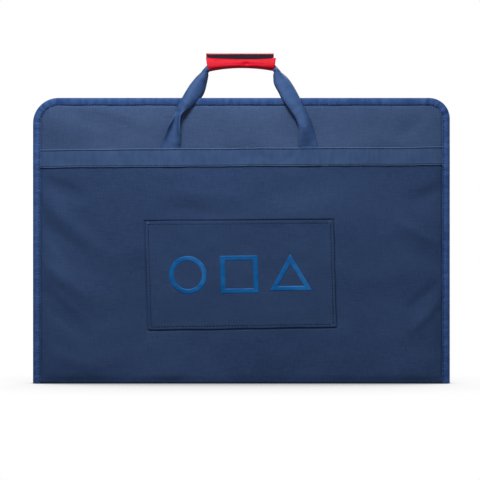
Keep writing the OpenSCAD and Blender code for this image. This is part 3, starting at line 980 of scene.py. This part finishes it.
def swell(piece, cap=0.8):
    """Puffs a closed cloth a little by a cloth simulation, worked at ten times its size."""
    mesh = piece.data
    before = np.zeros(len(mesh.vertices) * 3)
    mesh.vertices.foreach_get("co", before)
    mesh.vertices.foreach_set("co", before * 10)
    remesh = piece.modifiers.new("remesh", "REMESH")
    remesh.mode, remesh.voxel_size = "VOXEL", 0.0085
    apply_all(piece)
    rest = points_of(piece)
    move = 0.0
    settings = piece.modifiers.new("cloth", "CLOTH").settings
    settings.use_pressure, settings.uniform_pressure_force = True, 4.0
    settings.effector_weights.gravity = 0
    settings.quality = 5
    for at in range(1, 21):
        bpy.context.scene.frame_set(at)
    apply_all(piece)
    bpy.context.scene.frame_set(1)
    move = points_of(piece) - rest
    far = np.linalg.norm(move, axis=1, keepdims=True)
    move = move * np.minimum(1, cap * MM * 10 / np.maximum(far, 1e-9))
    piece.data.vertices.foreach_set("co", ((rest + move) / 10).ravel())
    relax = piece.modifiers.new("relax", "SMOOTH")
    relax.factor, relax.iterations = 0.5, 4
    finer = piece.modifiers.new("finer", "SUBSURF")
    finer.levels = finer.render_levels = 1
    apply_all(piece)


def points_of(piece):
    points = np.zeros(len(piece.data.vertices) * 3)
    piece.data.vertices.foreach_get("co", points)
    return points.reshape(-1, 3)


def apply_all(piece):
    """Makes a piece's mesh what its modifiers show."""
    graph = bpy.context.evaluated_depsgraph_get()
    made = bpy.data.meshes.new_from_object(piece.evaluated_get(graph), depsgraph=graph)
    piece.modifiers.clear()
    old, piece.data = piece.data, made
    bpy.data.meshes.remove(old)
    made.name = piece.name
    made.polygons.foreach_set("use_smooth", [True] * len(made.polygons))


def grip_dip(x):
    """How the wrap's underside arches between the straps."""
    return 3.4 * (1 - np.clip(np.abs(x) / GRIP_HALF, 0, 1) ** 2)


def shape_grip(piece):
    """Arches the wrap, slants its ends and dents its front, and gives it cloth coordinates."""
    points = points_of(piece) / MM
    x, y, z = points.T.copy()
    low = np.clip((530 - z) / 16, 0, 1)
    top = np.clip((z - 530) / 6, 0, 1)
    front = np.clip(-y / 3, 0, 1)
    z = z + grip_dip(x) * low * 0.9 + 1.3 * front * top * (x / GRIP_HALF) ** 2
    leftward = np.clip(-x / GRIP_HALF, 0, 1)
    z = z + 1.8 * low * (1 - (x / GRIP_HALF) ** 2 - leftward ** 2)
    x = x * 1.015 - 1.6 * leftward
    x = x * (1 - 0.045 * np.clip((535 - z) / 20, 0, 1))
    x = x - 0.07 * np.maximum(x, 0) * np.clip((y - 0.5) / 2, 0, 1)
    dent = 2.2 * np.exp(-(((x - 8) / 6) ** 2 + ((z - 526) / 6) ** 2))
    fold = 0.7 * np.exp(-(((x + 30) / 5) ** 2)) + 0.6 * np.exp(-(((x - 37) / 4) ** 2))
    rough = 0.32 * waves(x, z, 14, 120) + 0.08 * waves(x, z, 6, 121)
    push = (rough - dent - fold * np.clip((z - 515) / 15, 0, 1)) * front
    y = y - push + 0.3 * waves(x, z, 13, 122) * np.clip(y / 3, 0, 1)
    gape = bump(x - 14, 62) * front * np.clip((z - 526) / 9, 0, 1)
    y = y - 3.2 * gape
    z = z - 1.3 * gape
    piece.data.vertices.foreach_set("co", (np.stack([x, y, z], 1) * MM).ravel())
    turn = np.arctan2(y, GRIP_MIDDLE_Z - z)
    lay_uv(piece.data, np.stack([x, turn * 10], 1))
    piece.data.update()


def make_grip_strips():
    """Hook and loop strips between the flaps."""
    def strip(name, low_z, high_z, y, thick, ends, node, body):
        x = spaced(GRIP_LOW[0] + ends[0], GRIP_HIGH[0] - ends[1], 2)
        z = spaced(low_z, high_z, 1.2)
        grid_x, grid_z = np.meshgrid(x, z)
        soft = 0.12 * waves(grid_x, grid_z, 7, 131)
        outer = np.stack([grid_x, y + soft, grid_z], -1)
        piece = sheet_of(name, outer, thick, np.stack([grid_x, grid_z], -1))
        dress(piece, "hook_and_loop", body, stands_for=[node])

    strip("grip_loop_tape", 531.0, RIM_Z - 2.8, -0.2, 1.5, (-0.2, 4.6), "grip_loop_strip",
          "rear_handle")
    strip("grip_hook_tape", 530.0, GRIP_HIGH[2] - 2.8, -1.6, 0.9, (6.0, 6.0),
          "grip_hook_strip", "grip_flap")


# ---------------------------------------------------------------- materials


class Paint:
    """A material put together from nodes."""

    def __init__(self, name, roughness=0.8, specular=0.18):
        self.material = bpy.data.materials.new(name)
        self.material.use_nodes = True
        self.tree = self.material.node_tree
        self.shader = self.tree.nodes["Principled BSDF"]
        self.shader.inputs["Roughness"].default_value = roughness
        self.shader.inputs["Specular IOR Level"].default_value = specular
        self.coords = self.tree.nodes.new("ShaderNodeTexCoord")

    def place(self, source="UV", scale=(1, 1, 1), turn=0.0):
        """Coordinates in metres of cloth, turned and stretched by a scale."""
        mapping = self.tree.nodes.new("ShaderNodeMapping")
        mapping.inputs["Scale"].default_value = scale
        mapping.inputs["Rotation"].default_value = (0, 0, turn)
        self.tree.links.new(self.coords.outputs[source], mapping.inputs["Vector"])
        return mapping.outputs["Vector"]

    def plug(self, socket, value):
        if isinstance(value, bpy.types.NodeSocket):
            self.tree.links.new(value, socket)
        else:
            socket.default_value = value

    def math(self, operation, a, b=0.0):
        node = self.tree.nodes.new("ShaderNodeMath")
        node.operation = operation
        self.plug(node.inputs[0], a)
        self.plug(node.inputs[1], b)
        return node.outputs[0]

    def noise(self, place, scale, detail=2.0):
        node = self.tree.nodes.new("ShaderNodeTexNoise")
        node.inputs["Scale"].default_value = scale
        node.inputs["Detail"].default_value = detail
        self.tree.links.new(place, node.inputs["Vector"])
        return node.outputs["Fac"]

    def split(self, place):
        node = self.tree.nodes.new("ShaderNodeSeparateXYZ")
        self.tree.links.new(place, node.inputs[0])
        return node.outputs

    def blend(self, share, low, high):
        node = self.tree.nodes.new("ShaderNodeMix")
        node.data_type = "RGBA"
        self.plug(node.inputs["Factor"], share)
        self.plug(node.inputs["A"], low)
        self.plug(node.inputs["B"], high)
        return node.outputs["Result"]

    def spread(self, value, low, high):
        """A value from low..high stretched to 0..1."""
        node = self.tree.nodes.new("ShaderNodeMapRange")
        self.plug(node.inputs["Value"], value)
        node.inputs["From Min"].default_value = low
        node.inputs["From Max"].default_value = high
        return node.outputs["Result"]

    def add(self, first, *others):
        for other in others:
            first = self.math("ADD", first, other)
        return first

    def times(self, a, b):
        return self.math("MULTIPLY", a, b)

    def wave(self, value, rate):
        return self.math("SINE", self.times(value, rate))

    def share(self, noise, amount):
        """A noise stretched to 0..1, times its share."""
        return self.times(self.spread(noise, 0.3, 0.7), amount)

    def sheen(self, weight, roughness):
        self.shader.inputs["Sheen Weight"].default_value = weight
        self.shader.inputs["Sheen Roughness"].default_value = roughness

    def finish(self, colour, height=None, strength=0.3, depth=0.0003, roughness=None):
        self.plug(self.shader.inputs["Base Color"], colour)
        if roughness is not None:
            self.plug(self.shader.inputs["Roughness"], roughness)
        if height is not None:
            node = self.tree.nodes.new("ShaderNodeBump")
            node.inputs["Strength"].default_value = strength
            node.inputs["Distance"].default_value = depth
            self.tree.links.new(height, node.inputs["Height"])
            self.tree.links.new(node.outputs["Normal"], self.shader.inputs["Normal"])
        return self.material


def rgb(red, green, blue):
    """A colour given in sRGB from 0 to 255, as the shader wants it."""
    made = []
    for value in (red, green, blue):
        value /= 255
        made.append(value / 12.92 if value <= 0.04045 else ((value + 0.055) / 1.055) ** 2.4)
    return (*made, 1.0)


def woven(name, dark, light, pitch=0.8, sheen=0.0, roughness=0.75, slub=0.22, streaks=0.0):
    """Plain or basket weave: crossing threads, slubs along both ways, soft patches, and where
    asked for, diagonal streaks of painted sheen.
    """
    p = Paint(name, roughness)
    place = p.place()
    across, up, _ = p.split(place)
    rate = math.pi / (pitch * MM)
    weave = p.times(p.wave(across, rate), p.wave(up, rate))
    slubs = p.add(p.noise(p.place(scale=(0.08, 1.0, 1.0)), 560),
                  p.noise(p.place(scale=(1.6, 0.1, 0.1)), 560))
    grain = p.noise(place, 700, 3)
    tone = p.add(p.times(p.spread(slubs, 0.7, 1.3), slub), p.share(p.noise(place, 150), 0.06),
                 p.share(grain, 0.38), p.share(p.noise(place, 14, 3), 0.12),
                 0.07 - 0.5 * streaks, p.times(weave, 0.12))
    # painted sheen: lighter and darker diagonal streaks stand in for the shine along soft folds;
    # the tone above is lowered by half their share
    if streaks:
        streak = p.noise(p.place(scale=(3.4, 13, 1), turn=0.5), 1.0, 1)
        tone = p.add(tone, p.share(streak, streaks))
    p.sheen(sheen, 0.4)
    rough = p.add(roughness - 0.08, p.times(grain, 0.16))
    height = p.add(weave, p.times(grain, 0.9))
    return p.finish(p.blend(tone, dark, light), height, 0.35, 0.0003, rough)


def ribbed(name, dark, light, pitch=1.15, sheen=0.0, mottle=0.5, source="UV", selvedge=None):
    """Tape or webbing: fine ribs across its length, with mottled patches along it, partly the
    tape's own uneven tone and partly painted shade of its puckers. Past the selvedge its edge is
    painted lighter, a painted highlight where the edge catches the light, and just within it a
    dark line of painted shade runs along the sunk stitches."""
    p = Paint(name, 0.62)
    place = p.place(source)
    parts = p.split(place)
    rib = p.math("ABSOLUTE", p.wave(parts[0], math.pi / (pitch * MM)))
    edge = parts[2 if source == "Object" else 1]
    grain = p.noise(place, 900, 3)
    # the mottle is partly the tape's own uneven tone and partly painted shade of its puckers
    patch = p.noise(p.place(source, (1.0, 0.35, 0.35)), 130, 3)
    tone = p.add(p.times(rib, 0.22), p.share(grain, 0.22), p.share(patch, mottle),
                 p.share(p.noise(place, 22), 0.15))
    if selvedge:
        off = p.math("ABSOLUTE", edge)
        # painted highlight: the edge past the selvedge is made lighter, as where it catches the
        # light
        rim = p.spread(off, (selvedge - 0.2) * MM, (selvedge + 0.4) * MM)
        # painted shade: a dark line along the stitch line, where the sunk stitches hold shade
        from_seam = p.math("ABSOLUTE", p.math("SUBTRACT", off, (selvedge - 1.1) * MM))
        seam = p.spread(from_seam, 1.1 * MM, 0.3 * MM)
        colour = p.blend(p.add(tone, p.times(rim, 0.55)), dark, light)
        colour = p.blend(p.times(seam, 0.6), colour, rgb(12, 20, 42))
    else:
        colour = p.blend(tone, dark, light)
    p.sheen(sheen, 0.35)
    cross = p.wave(edge, math.tau / (1.9 * MM))
    height = p.add(rib, p.times(cross, 0.15), p.times(grain, 0.4))
    return p.finish(colour, height, 0.5, 0.0004, p.add(0.52, p.times(grain, 0.2)))


def fuzzy(name, dark, light):
    """Hook and loop tape: a short dense pile."""
    p = Paint(name, 0.9)
    place = p.place()
    pile = p.noise(place, 1900, 4)
    tone = p.add(p.times(pile, 0.8), p.times(p.noise(place, 160), 0.3))
    p.sheen(0.4, 0.5)
    return p.finish(p.blend(tone, dark, light), pile, 0.8, 0.0006)


def thread(name, dark, light):
    """Sewing thread: twisted, with a soft shine."""
    p = Paint(name, 0.5)
    place = p.place("Object")
    grain = p.noise(place, 1500, 3)
    tone = p.add(p.times(grain, 0.6), p.times(p.noise(place, 60), 0.5))
    return p.finish(p.blend(tone, dark, light), grain, 0.4, 0.0002)


def metal(name, dark, light):
    """Satin nickel with fine scratches and worn spots."""
    p = Paint(name, 0.3, 0.5)
    p.shader.inputs["Metallic"].default_value = 1.0
    scratch = p.noise(p.place("Object", (0.15, 1.5, 1.5)), 1800, 4)
    wear = p.noise(p.place("Object"), 260, 3)
    rough = p.add(0.26, p.times(scratch, 0.25))
    return p.finish(p.blend(wear, dark, light), scratch, 0.15, 0.0001, rough)


def moulded(name, dark, light, roughness):
    """Moulded nylon or plastic sheet, with a fine grain."""
    p = Paint(name, roughness)
    place = p.place("Object")
    grain = p.noise(place, 1400, 3)
    rough = p.add(roughness - 0.08, p.times(grain, 0.2))
    return p.finish(p.blend(p.noise(place, 40), dark, light), grain, 0.2, 0.0001, rough)


def ink(name, dark, light):
    """Screen-print ink over the weave: streaked, with lighter patches of painted sheen."""
    p = Paint(name, 0.45)
    streak = p.noise(p.place(scale=(0.5, 1.6, 1.0)), 60, 3)
    # painted sheen: patches blended towards a light blue, where the ink would shine
    sheen_patch_noise = p.noise(p.place(scale=(1.0, 0.6, 1.0)), 13, 3)
    colour = p.blend(p.spread(streak, 0.3, 0.7), dark, light)
    painted_sheen_share = p.times(p.spread(sheen_patch_noise, 0.52, 0.72), 0.75)
    colour = p.blend(painted_sheen_share, colour, rgb(64, 130, 192))
    return p.finish(colour, p.noise(p.place(), 800, 3), 0.35, 0.0002)


PAINTS = {}
# each material's maker, its dark and its light colour, and what else the maker is told
RECIPES = {
    "lower_cloth": (woven, (18, 40, 77), (60, 84, 125), {"streaks": 0.22}),
    # the upper cloth is the lower cloth's own fabric in lighter colours: painted light, for the
    # upper panel catching more of the light from above
    "upper_cloth": (woven, (32, 54, 90), (80, 103, 143), {"streaks": 0.3}),
    "pocket_cloth": (woven, (22, 45, 82), (58, 82, 121), {}),
    "base_cloth": (woven, (20, 40, 74), (56, 80, 118), {}),
    "lining": (woven, (40, 44, 54), (80, 86, 100),
               {"pitch": 0.45, "sheen": 0.05, "roughness": 0.55, "slub": 0.3}),
    "binding": (ribbed, (8, 41, 95), (66, 102, 161), {"mottle": 0.4}),
    "band": (ribbed, (34, 58, 98), (76, 103, 146), {"mottle": 0.2, "selvedge": 13.9}),
    "webbing": (ribbed, (30, 56, 104), (78, 110, 158), {"pitch": 1.4, "mottle": 0.2}),
    "zip_tape": (ribbed, (18, 26, 48), (46, 62, 98), {"pitch": 0.9, "sheen": 0.2}),
    "zip_coil": (moulded, (18, 24, 40), (34, 42, 62), {"roughness": 0.35}),
    "grip_cloth": (woven, (168, 0, 22), (231, 0, 42),
                   {"pitch": 0.7, "roughness": 0.45, "slub": 0.3}),
    "hook_and_loop": (fuzzy, (6, 8, 16), (30, 33, 46), {}),
    "thread": (thread, (8, 14, 32), (26, 38, 66), {}),
    "binding_thread": (thread, (8, 16, 38), (28, 44, 82), {}),
    "thread_painted_highlight": (thread, (50, 66, 98), (96, 114, 148), {}),
    "print": (ink, (0, 76, 140), (12, 100, 168), {}),
    "metal": (metal, (96, 98, 104), (158, 160, 166), {}),
    "board": (moulded, (128, 130, 132), (156, 158, 160), {"roughness": 0.7}),
    "tabs": (ribbed, (34, 50, 84), (72, 94, 132), {"source": "Object", "sheen": 0.2}),
}


def paint(name):
    """The material of that name, made when it is first asked for."""
    if name not in PAINTS:
        make, dark, light, told = RECIPES[name]
        PAINTS[name] = make(name, rgb(*dark), rgb(*light), **told)
    return PAINTS[name]


def dress(piece, material, body=None, bend=None, stands_for=()):
    """Gives a piece its material and hides the CAD nodes that it stands for; it rides on its
    body, or, where a bend is given, its place is baked into its mesh.
    """
    piece.data.materials.clear()
    piece.data.materials.append(paint(material))
    if stands_for:
        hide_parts(*stands_for)
    if bend:
        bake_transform(piece)
    else:
        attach(piece, body)
    return piece


def round_off(node, width, material, body):
    """A copy of a CAD node with its sharp edges rounded."""
    name = f"{node}_finished"
    piece = put(name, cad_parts[node].data.copy())
    piece.data.name = name
    work = bmesh.new()
    work.from_mesh(piece.data)
    bmesh.ops.remove_doubles(work, verts=work.verts, dist=1e-6)
    bmesh.ops.dissolve_limit(work, angle_limit=math.radians(1), verts=work.verts,
                             edges=work.edges)
    work.to_mesh(piece.data)
    work.free()
    edge = piece.modifiers.new("edge", "BEVEL")
    edge.width, edge.segments, edge.limit_method = width * MM, 2, "ANGLE"
    edge.angle_limit, edge.harden_normals = math.radians(40), True
    piece.data.polygons.foreach_set("use_smooth", [True] * len(piece.data.polygons))
    apply_all(piece)
    dress(piece, material, body, stands_for=[node])


def make_end_tab(side):
    """A folded piece of webbing over the zip's lower end, with its two rows of stitches."""
    low, high = reach(f"zip_end_tab_{side}")
    middle, half = (low + high) / 2, (high - low) / 2
    turn = np.linspace(0, 2 * math.pi, 20, endpoint=False)
    across = half[0] * np.sign(np.cos(turn)) * np.abs(np.cos(turn)) ** 0.35
    rise = half[2] * np.sign(np.sin(turn)) * np.abs(np.sin(turn)) ** 0.6
    y = spaced(-half[1], half[1], 1.0)
    fold = 1 - 0.75 * bump(np.abs(y) - half[1], 1.6)
    wave = 1 + 0.06 * ripple(y, 5, 140)
    rings = np.stack([middle[0] + across * wave[:, None], y[:, None] + 0 * across,
                      low[2] + half[2] + rise * fold[:, None] * wave[:, None]], -1)
    piece = tube_of(f"zip_end_tab_{side}_webbing", rings)
    dress(piece, "tabs", "bottom",
          stands_for=[f"zip_end_tab_{side}"])
    rows = [[(middle[0] + end, s * row_y, high[2] - 0.05) for end in (-4.4, 4.4)]
            for s in (-1, 1) for row_y in (6.5, 9.0)]
    sew(f"zip_end_tab_{side}_stitches", rows, (0, 0, 1), "thread", "zip_end_tabs", "bottom",
        length=1.8, radius=0.3, pitch=2.2)


def make_floor():
    low, high = -4.0, 4.0
    mesh = bpy.data.meshes.new("floor")
    mesh.from_pydata([(low, low, 0), (high, low, 0), (high, high, 0), (low, high, 0)], [],
                     [(0, 1, 2, 3)])
    floor = put("floor", mesh)
    p = Paint("floor", 0.9, 0.1)
    tree = p.tree
    # For the camera the floor glows: white away from the case and greyer close to it, a contact
    # shadow painted in from ambient occlusion rather than cast by the lamps. Other rays see a dim
    # grey floor.
    shade = tree.nodes.new("ShaderNodeAmbientOcclusion")
    shade.inputs["Distance"].default_value = 0.34
    shade.samples = 24
    ramp = tree.nodes.new("ShaderNodeValToRGB")
    stops = ((0.5, 0.4), (0.54, 0.52), (0.6, 0.8), (0.66, 0.86), (0.79, 0.93), (0.95, 1.0))
    for k, (at, grey) in enumerate(stops):
        stop = ramp.color_ramp.elements[k] if k < 2 else ramp.color_ramp.elements.new(at)
        stop.position, stop.color = at, (grey, grey, grey, 1)
    tree.links.new(shade.outputs["AO"], ramp.inputs["Fac"])
    white = ramp.outputs["Color"]
    seen = tree.nodes.new("ShaderNodeEmission")
    tree.links.new(white, seen.inputs["Color"])
    path = tree.nodes.new("ShaderNodeLightPath")
    mix = tree.nodes.new("ShaderNodeMixShader")
    patch = p.noise(p.place("Object"), 3, 2)
    p.finish(p.blend(patch, (0.3, 0.3, 0.3, 1), (0.34, 0.34, 0.34, 1)))
    tree.links.new(path.outputs["Is Camera Ray"], mix.inputs[0])
    tree.links.new(p.shader.outputs[0], mix.inputs[1])
    tree.links.new(seen.outputs[0], mix.inputs[2])
    tree.links.new(mix.outputs[0], tree.nodes["Material Output"].inputs["Surface"])
    mesh.materials.append(p.material)


make_stage()
make_floor()
make_lower_cloth("front", False, SEAM_Z + 2)
make_upper_cloth()
make_lower_cloth("rear", True, TOP_Z - 4)
make_base()
for side_name, is_rear in (("front", False), ("rear", True)):
    make_lining(side_name, is_rear)
    make_binding(side_name, is_rear)
    make_zip(side_name, is_rear)
    make_band(side_name, is_rear)
    make_handle(side_name, is_rear)
make_inner_pocket()
make_pocket()
make_print()
make_grip()
make_grip_strips()
for side_name in ("front", "rear"):
    round_off(f"{side_name}_board", 0.3, "board", side_name)
for side_name in ("left", "right"):
    make_end_tab(side_name)
    for part in ("slider", "pull"):
        node = f"{part}_{side_name}"
        round_off(node, 0.22, "metal", node)
